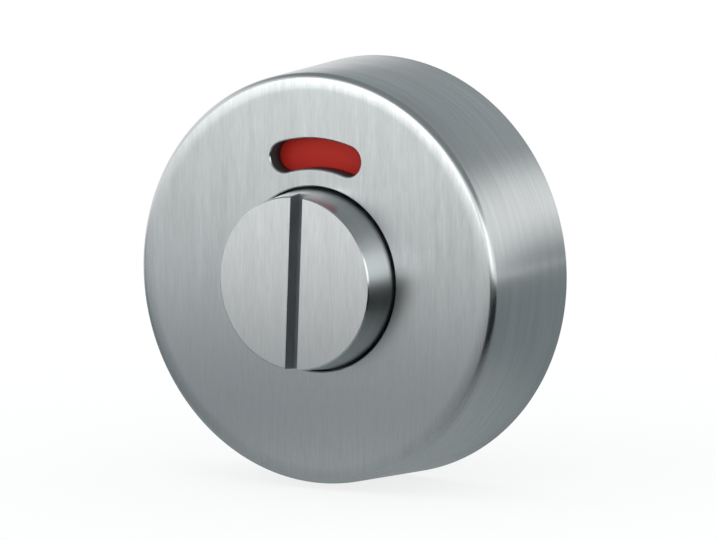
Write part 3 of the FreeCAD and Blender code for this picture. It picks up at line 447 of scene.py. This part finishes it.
class LOCKROSE_OT_cover(bpy.types.Operator):
    """Draw the satin steel cover with its knob hole, colour window and screw hole"""

    bl_idname = "lockrose.cover"
    bl_label = "Satin cover"

    def execute(self, context):
        settings = context.scene.lock_rose
        cover = settings.cover
        shape = bmesh.new()
        lean = math.atan2(cover.inset, cover.depth)
        slope = cover.inset / cover.depth
        inside = cover.depth - cover.wall
        small = cover.crown - cover.corner
        corner_depth = cover.depth - cover.crown + small * math.cos(cover.crown_angle)
        wall_top = corner_depth + cover.corner * math.sin(lean)
        corner_across = cover.radius - slope * wall_top - cover.corner * math.cos(lean)
        flat = corner_across - small * math.sin(cover.crown_angle)
        bends = (
            ((flat, -(cover.depth - cover.crown), 0), cover.crown_angle, CROWN_STEPS),
            ((corner_across, -corner_depth, 0), math.pi / 2 - lean - cover.crown_angle, CORNER_STEPS))
        vert = shape.verts.new((flat, -cover.depth, 0))
        for centre, angle, steps in bends:
            swung = bmesh.ops.spin(
                shape, geom=[vert], cent=centre, axis=(0, 0, 1), dvec=(0, 0, 0), angle=angle, steps=steps,
                use_merge=False)
            vert = swung["geom_last"][0]
        bend = inside - cover.inner_edge
        section = [
            (cover.radius, 0.0), (cover.radius - cover.wall, 0.0),
            (cover.radius - cover.wall - slope * bend, bend),
            (cover.radius - cover.wall - slope * inside - cover.inner_edge, inside), (flat, inside)]
        for across, depth in section:
            following = shape.verts.new((across, -depth, 0))
            shape.edges.new((vert, following))
            vert = following
        bmesh.ops.spin(
            shape, geom=shape.verts[:] + shape.edges[:], cent=(0, 0, 0), axis=(0, 1, 0), dvec=(0, 0, 0),
            angle=2 * math.pi, steps=cover.steps, use_merge=True)

        def loop(across, depth):
            return [edge for edge in shape.edges if ring_place(edge, depth, across)]

        rim_edges = loop(cover.radius, 0.0) + loop(cover.radius - cover.wall, 0.0)
        bmesh.ops.bevel(
            shape, geom=rim_edges, offset=cover.rim, offset_type="OFFSET", segments=3, profile=0.5,
            affect="EDGES", material=-1, clamp_overlap=True)
        front = loop(flat, cover.depth)
        back = loop(flat, inside)
        for outline_of in (
                lambda depth, grow: ring(shape, cover.hole + grow, depth, cover.steps),
                lambda depth, grow: window_ring(shape, cover, depth, grow)):
            lip = outline_of(cover.depth, cover.burr)
            throat = outline_of(cover.depth - cover.burr, 0.0)
            tail = outline_of(inside, 0.0)
            front += lip
            back += tail
            bmesh.ops.bridge_loops(shape, edges=lip + throat)
            bmesh.ops.bridge_loops(shape, edges=throat + tail)
        bmesh.ops.triangle_fill(shape, use_beauty=True, use_dissolve=False, edges=front, normal=(0, -1, 0))
        bmesh.ops.triangle_fill(shape, use_beauty=True, use_dissolve=False, edges=back, normal=(0, 1, 0))
        bmesh.ops.recalc_face_normals(shape, faces=shape.faces)
        below = Matrix.Translation((0, -cover.screw_depth, -cover.radius))
        shape = bore(shape, drill(cover.screw_hole, 4 * cover.wall, below))
        mark_sharp(shape)
        lip_limit = 0.5  # the broken edges of the openings are rubbed with the face, their walls aren't
        past_crown = 0.1  # radians into the corner that the rub of the face still reaches
        face_limit = math.cos(cover.crown_angle + past_crown)
        for side in shape.faces:
            middle = side.calc_center_median()
            if abs(side.normal.y) > FLAT_FACE:
                side.smooth = False
            in_opening = middle.y < -inside and math.hypot(middle.x, middle.z) < flat
            if side.normal.y < -(lip_limit if in_opening else face_limit):
                side.material_index = 0
            elif in_opening:
                side.material_index = 2
            else:
                side.material_index = 1
        # The punched edge is steel, but bare metal there mirrors the white room and comes out too light,
        # so a dull, dark finish without metal stands in for it as painted shade on the walls of the knob hole
        # and window.
        looks = [
            straight_steel("stainless_face_brushed", settings.finish.steel),
            round_steel("stainless_wall_brushed", settings.finish.steel, 0.24),
            moulded("punched_edge_painted_shade", settings.finish.cut, 0.1 * MM, 0.6, 0.3)]
        finish_piece("satin_cover", shape, looks, "rose", "rose_cover")
        return {"FINISHED"}


class LOCKROSE_OT_release(bpy.types.Operator):
    """Turn the release knob with its coin slot, shank, ring groove and square socket"""

    bl_idname = "lockrose.release"
    bl_label = "Coin release"

    def execute(self, context):
        settings = context.scene.lock_rose
        release = settings.release
        shape = bmesh.new()
        floor = release.front - release.slot_depth
        tip = release.radius - release.flare
        turn = Matrix.Rotation(math.pi / 2, 4, "X")
        face = Matrix.Translation((0, -release.front, 0)) @ turn
        made = bmesh.ops.create_circle(
            shape, cap_ends=True, segments=release.steps, radius=tip - release.chamfer, matrix=face)
        edges = list({edge for vert in made["verts"] for edge in vert.link_edges})
        section = [
            (tip, release.front - release.chamfer), (release.radius, settings.cover.depth),
            (release.radius, release.back), (release.key, release.back), (release.key, release.key_back),
            (release.shank, release.key_back), (release.shank, release.groove_front),
            (release.groove, release.groove_front), (release.groove, release.groove_back),
            (release.shank, release.groove_back), (release.shank, release.end)]
        radius = tip - release.chamfer
        depth = release.front
        for next_radius, next_depth in section:
            made = bmesh.ops.extrude_edge_only(shape, edges=edges)["geom"]
            verts = [item for item in made if isinstance(item, bmesh.types.BMVert)]
            edges = [item for item in made if isinstance(item, bmesh.types.BMEdge)]
            share = next_radius / radius
            bmesh.ops.scale(shape, verts=verts, vec=(share, 1, share))
            bmesh.ops.translate(shape, verts=verts, vec=(0, depth - next_depth, 0))
            radius, depth = next_radius, next_depth
        bmesh.ops.contextual_create(shape, geom=edges)
        seat = [vert for vert in shape.verts if abs(math.hypot(vert.co.x, vert.co.z) - release.key) < CLOSE]
        for vert in seat:
            vert.co.z = max(-release.key_flat, min(release.key_flat, vert.co.z))
        bmesh.ops.recalc_face_normals(shape, faces=shape.faces)
        lean = Matrix.Rotation(release.slot_lean, 4, "Y")
        slot = Matrix.Translation((0, -release.front, 0)) @ lean
        shape = bore(shape, mill(release.slot_width, 2 * release.slot_depth, 3 * release.radius, slot))
        socket = Matrix.Translation((0, -release.end, 0))
        shape = bore(shape, mill(2 * release.socket, 2 * release.socket_depth, 2 * release.socket, socket))
        across = Matrix.Translation((0, -release.pin_depth, 0)) @ Matrix.Rotation(math.pi / 2, 4, "Y")
        shape = bore(shape, drill(release.pin_hole, 3 * release.shank, across))
        unturn = lean.inverted()

        def off_slot(point):
            return abs((unturn @ point).x) - release.slot_width / 2

        lips = [edge for edge in shape.edges if ring_place(edge, release.front, 0.0, release.radius)
                and all(abs(off_slot(vert.co)) < CLOSE for vert in edge.verts)]
        bmesh.ops.bevel(
            shape, geom=lips, offset=release.slot_burr, offset_type="OFFSET", segments=2, profile=0.5,
            affect="EDGES", material=-1, clamp_overlap=True)
        mark_sharp(shape)
        for side in shape.faces:
            middle = side.calc_center_median()
            if abs(side.normal.y) > FLAT_FACE:
                side.smooth = False
            if abs(middle.y + release.front) < NEAR_CUT:
                side.material_index = 0
            elif off_slot(middle) < NEAR_CUT and middle.y < -floor + NEAR_CUT:
                side.material_index = 2
            else:
                side.material_index = 1
        looks = [
            straight_steel("stainless_knob_brushed", settings.finish.knob),
            round_steel("stainless_knob_turned", settings.finish.steel, 0.24),
            # The slot's darker tint is partly painted shade in the recess.
            machined("slot_rough_steel_and_painted_shade", settings.finish.milled_with_painted_shade, 0.1 * MM, 0.5)]
        finish_piece("coin_release", shape, looks, "turn", "release_turn")
        return {"FINISHED"}


class LOCKROSE_OT_inserts(bpy.types.Operator):
    """Turn the two brass inserts that take the bolts from the inside of the door"""

    bl_idname = "lockrose.inserts"
    bl_label = "Threaded inserts"

    def execute(self, context):
        settings = context.scene.lock_rose
        insert = settings.insert
        brass = machined("brass_tapped", settings.finish.brass, 0.12 * MM, 0.28)
        for side in ("left", "right"):
            low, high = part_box("fixing_insert_" + side)
            middle = (low[0] + high[0]) / 2
            radius = (high[0] - low[0]) / 2
            back, front = -high[1], -low[1]
            waist = radius - insert.waist
            section = [
                (insert.thread + insert.lead, back), (radius, back), (radius, back + insert.band),
                (waist, back + insert.band), (waist, front - insert.band), (radius, front - insert.band),
                (radius, front), (insert.thread, front)]
            turns = int((front - back - insert.lead) / insert.pitch)
            for turn in range(turns):
                crest = front - (turn + 0.5) * insert.pitch
                section += [(insert.bore, crest), (insert.thread, crest - insert.pitch / 2)]
            shape = bmesh.new()
            points = [shape.verts.new((middle + across, -depth, 0)) for across, depth in section]
            sides = [shape.edges.new(pair) for pair in zip(points, points[1:] + points[:1])]
            bmesh.ops.spin(
                shape, geom=points + sides, cent=(middle, 0, 0), axis=(0, 1, 0), dvec=(0, 0, 0),
                angle=2 * math.pi, steps=insert.steps, use_merge=True)
            bmesh.ops.recalc_face_normals(shape, faces=shape.faces)
            mark_sharp(shape)
            finish_piece(
                "tapped_insert_" + side, shape, [brass], "rose", "fixing_insert_" + side)
        return {"FINISHED"}


class LOCKROSE_OT_indicator(bpy.types.Operator):
    """Colour the indicator disc and its two fields"""

    bl_idname = "lockrose.indicator"
    bl_label = "Indicator"

    def execute(self, context):
        finish = context.scene.lock_rose.finish
        looks = {
            "indicator_disc": moulded("abs_disc_moulded", finish.disc, 0.12 * MM, 0.5),
            "occupied_field": moulded("abs_red_moulded", finish.red, 0.10 * MM, 0.55, 0.2),
            "vacant_field": moulded("abs_green_moulded", finish.green, 0.10 * MM, 0.55, 0.2),
        }
        for node, material in looks.items():
            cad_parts[node].data.materials[0] = material
        return {"FINISHED"}


class LOCKROSE_OT_carrier(bpy.types.Operator):
    """Colour the moulded carrier, the window frame and the bearing bush"""

    bl_idname = "lockrose.carrier"
    bl_label = "Carrier and bush"

    def execute(self, context):
        finish = context.scene.lock_rose.finish
        nylon = moulded("nylon_black_moulded", finish.nylon, 0.15 * MM, 0.5)
        looks = {
            "carrier": nylon, "window_frame": nylon,
            "bearing_bush": moulded("acetal_white_moulded", finish.acetal, 0.2 * MM, 0.4),
        }
        for node, material in looks.items():
            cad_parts[node].data.materials[0] = material
        return {"FINISHED"}


class LOCKROSE_OT_hardware(bpy.types.Operator):
    """Colour the spindle, pin, rings, washers and cover screw"""

    bl_idname = "lockrose.hardware"
    bl_label = "Spindle and hardware"

    def execute(self, context):
        finish = context.scene.lock_rose.finish
        zinc = machined("steel_zinc_plated", finish.zinc, 0.2 * MM, 0.34)
        spring = machined("spring_steel_oiled", finish.spring, 0.15 * MM, 0.32)
        brass = machined("brass_turned", finish.brass, 0.12 * MM, 0.28)
        screw = machined("stainless_screw_turned", finish.steel, 0.12 * MM, 0.3)
        looks = {
            "spindle": zinc, "thrust_washer": zinc, "wave_washer": spring, "retaining_ring": spring,
            "spindle_pin": spring, "cover_insert": brass, "cover_screw": screw,
        }
        for node, material in looks.items():
            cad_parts[node].data.materials[0] = material
        return {"FINISHED"}


def soft_light(name, azimuth, elevation, distance, width, height, brightness):
    """Softbox that faces the rose from an azimuth and elevation in degrees. A brightness of 1 is as
    bright as white paper."""
    lamp = bpy.data.lights.new(name, "AREA")
    lamp.shape = "RECTANGLE"
    lamp.size = width
    lamp.size_y = height
    lamp.energy = brightness * math.pi * width * height
    holder = bpy.data.objects.new(name, lamp)
    turn = math.radians(azimuth)
    rise = math.radians(elevation)
    away = Vector((math.sin(turn) * math.cos(rise), -math.cos(turn) * math.cos(rise), math.sin(rise)))
    holder.location = away * distance
    holder.rotation_euler = away.to_track_quat("Z", "Y").to_euler()
    holder.visible_camera = False
    bpy.context.scene.collection.objects.link(holder)


def flat_sheet(name, size, place, material):
    """Square sheet of the stage, level unless its place turns it."""
    sheet = bmesh.new()
    bmesh.ops.create_grid(sheet, x_segments=1, y_segments=1, size=size, matrix=place)
    mesh = bpy.data.meshes.new(name)
    sheet.to_mesh(mesh)
    sheet.free()
    mesh.materials.append(material)
    piece = bpy.data.objects.new(name, mesh)
    bpy.context.scene.collection.objects.link(piece)
    return piece


def seen_rays(tree):
    """1 for rays that show the background: straight from the camera, or by way of metal or glass."""
    path = add(tree, "ShaderNodeLightPath")
    direct = add(tree, "ShaderNodeMath", {
        0: path.outputs["Is Camera Ray"], 1: path.outputs["Is Glossy Ray"]}, operation="MAXIMUM")
    return add(tree, "ShaderNodeMath", {
        0: direct.outputs[0], 1: path.outputs["Is Transmission Ray"]}, operation="MAXIMUM").outputs[0]


def paper_floor(tint, near, far):
    """Matt white paper: holds the soft shadow near the rose and goes to plain white away from it."""
    material, tree = new_material("paper_matt_white")
    place = add(tree, "ShaderNodeTexCoord").outputs["Object"]
    away = add(tree, "ShaderNodeVectorMath", {0: place}, operation="LENGTH")
    fade = add(tree, "ShaderNodeMapRange", {
        "Value": away.outputs["Value"], "From Min": near, "From Max": far, "To Min": 0.8, "To Max": 1.0},
        interpolation_type="SMOOTHSTEP")
    bright = add(tree, "ShaderNodeMath", {0: seen_rays(tree), 1: fade.outputs[0]}, operation="MULTIPLY")
    paper = add(tree, "ShaderNodeBsdfDiffuse", {"Color": (*tint, 1.0)})
    glow = add(tree, "ShaderNodeEmission", {"Color": (1.0, 1.0, 1.0, 1.0), "Strength": 1.0})
    output(tree, add(tree, "ShaderNodeMixShader", {
        0: bright.outputs[0], 1: paper.outputs[0], 2: glow.outputs[0]}))
    return material


def grey_card(name, tint, near, far, centre):
    """Grey card that fades out from near to far round its centre. Only metal shows it, as a darker side."""
    material, tree = new_material(name)
    place = add(tree, "ShaderNodeTexCoord").outputs["Object"]
    offset = add(tree, "ShaderNodeVectorMath", {0: place, 1: centre}, operation="DISTANCE")
    fade = add(tree, "ShaderNodeMapRange", {
        "Value": offset.outputs["Value"], "From Min": near, "From Max": far, "To Min": 0.0, "To Max": 1.0})
    card = add(tree, "ShaderNodeEmission", {"Color": (*tint, 1.0), "Strength": 1.0})
    clear = add(tree, "ShaderNodeBsdfTransparent")
    output(tree, add(tree, "ShaderNodeMixShader", {
        0: fade.outputs[0], 1: card.outputs[0], 2: clear.outputs[0]}))
    return material


class LOCKROSE_OT_stage(bpy.types.Operator):
    """Set the pale floor, the soft lights and the camera of the photograph"""

    bl_idname = "lockrose.stage"
    bl_label = "Stage"

    def execute(self, context):
        settings = context.scene.lock_rose
        stage = settings.stage
        scene = context.scene
        scene.view_settings.view_transform = "Standard"
        ground = CAD_BOX[0][2]
        floor_drop = 0.02 * MM  # keeps the floor clear of the cover and under the cards
        layer_gap = 0.002 * MM  # keeps one card clear of the next
        floor_place = Matrix.Translation((0, 0, ground - floor_drop))
        flat_sheet("floor", 4.0, floor_place, paper_floor(settings.finish.floor, 0.03, 0.14))
        # Name, colour, solid and faded radius and centre in metres, and tilt in degrees.
        cards = (
            ("front_card", "#747C80", 0.06, 0.148, (-0.09, -0.080, ground), 0),
            ("left_card", "#7C8487", 0.12, 0.26, (-0.36, -0.19, ground), 0),
            ("back_card", "#868E90", 0.22, 0.40, (0.08, 0.24, ground), 0),
            ("skirt_card", "#868E90", 0.28, 0.40, (0.35, 0.60, -0.26), 90),
            ("camera_card", "#1C2022", 0.30, 0.35, (0.29, -0.23, ground), 0),
            ("ceiling_card", "#8A9092", 0.60, 1.20, (0.15, 0.0, 0.50), 0),
            ("wall_card", "#A9AFB1", 0.34, 0.46, (-0.12, 0.60, 0.50), 90),
        )
        for layer, (name, code, near, far, centre, tilt) in enumerate(cards):
            lift = Vector((0, 0, (layer - len(cards)) * layer_gap))
            tilted = Matrix.Rotation(math.radians(tilt), 4, "X")
            place = Matrix.Translation(Vector(centre) + lift) @ tilted
            card = flat_sheet(name, far, place, grey_card(name, linear(code), near, far, centre))
            card.visible_camera = False
            card.visible_diffuse = False
            card.visible_transmission = False
            card.visible_shadow = False

        # What is seen or mirrored is plain white, and matt surfaces get a slightly cool room.
        world = bpy.data.worlds.new("studio")
        world.use_nodes = True
        tree = world.node_tree
        tree.nodes.clear()
        room = add(tree, "ShaderNodeBackground", {"Color": (0.92, 0.99, 1.0, 1.0), "Strength": 1.1})
        white = add(tree, "ShaderNodeBackground", {"Color": (1.0, 1.0, 1.0, 1.0), "Strength": 1.0})
        both = add(tree, "ShaderNodeMixShader", {0: seen_rays(tree), 1: room.outputs[0], 2: white.outputs[0]})
        add(tree, "ShaderNodeOutputWorld", {"Surface": both.outputs[0]})
        scene.world = world

        # Name, azimuth and elevation in degrees, distance, width and height in metres, and brightness.
        soft_light("front_panel", 0, 8, 0.9, 1.10, 0.44, 0.2)
        soft_light("left_panel", -20, 5, 0.9, 0.44, 0.34, 1.5)
        soft_light("key_softbox", 56, 10, 0.40, 0.34, 0.14, 0.7)

        camera = bpy.data.cameras.new("camera")
        camera.sensor_width = 36.0
        camera.lens = stage.lens
        camera.clip_start = 0.01
        camera.clip_end = 20.0
        eye = bpy.data.objects.new("camera", camera)
        across = Vector((math.cos(stage.azimuth), math.sin(stage.azimuth), 0))
        level = math.cos(stage.elevation)
        back = Vector((
            math.sin(stage.azimuth) * level, -math.cos(stage.azimuth) * level, math.sin(stage.elevation)))
        up = back.cross(across)
        eye.location = back * stage.distance - across * stage.aim_right - up * stage.aim_up
        eye.rotation_euler = Matrix((across, up, back)).transposed().to_euler()
        scene.collection.objects.link(eye)
        scene.camera = eye
        return {"FINISHED"}


STEPS = (
    LOCKROSE_OT_cover, LOCKROSE_OT_release, LOCKROSE_OT_inserts, LOCKROSE_OT_indicator,
    LOCKROSE_OT_carrier, LOCKROSE_OT_hardware, LOCKROSE_OT_stage)


class LOCKROSE_PT_panel(bpy.types.Panel):
    """Buttons for each step of the rose"""

    bl_idname = "LOCKROSE_PT_panel"
    bl_label = "Lock rose"
    bl_space_type = "VIEW_3D"
    bl_region_type = "UI"
    bl_category = "Lock rose"

    def draw(self, context):
        settings = context.scene.lock_rose
        for step in STEPS:
            self.layout.operator(step.bl_idname)
        for group in (settings.cover, settings.release, settings.insert, settings.finish, settings.stage):
            box = self.layout.box()
            for name in group.bl_rna.properties.keys():
                if name not in {"rna_type", "name"}:
                    box.prop(group, name)


SETTINGS = (CoverSettings, ReleaseSettings, InsertSettings, FinishSettings, StageSettings, LockRoseSettings)
CLASSES = SETTINGS + STEPS + (LOCKROSE_PT_panel,)


def register():
    """Add the classes and the settings to Blender."""
    for item in CLASSES:
        bpy.utils.register_class(item)
    bpy.types.Scene.lock_rose = bpy.props.PointerProperty(type=LockRoseSettings)


def unregister():
    """Take the classes and the settings out again."""
    del bpy.types.Scene.lock_rose
    for item in reversed(CLASSES):
        bpy.utils.unregister_class(item)


def main():
    """Build every piece and the stage."""
    register()
    bpy.ops.lockrose.cover()
    bpy.ops.lockrose.release()
    bpy.ops.lockrose.inserts()
    bpy.ops.lockrose.indicator()
    bpy.ops.lockrose.carrier()
    bpy.ops.lockrose.hardware()
    bpy.ops.lockrose.stage()


if __name__ == "__main__":
    main()
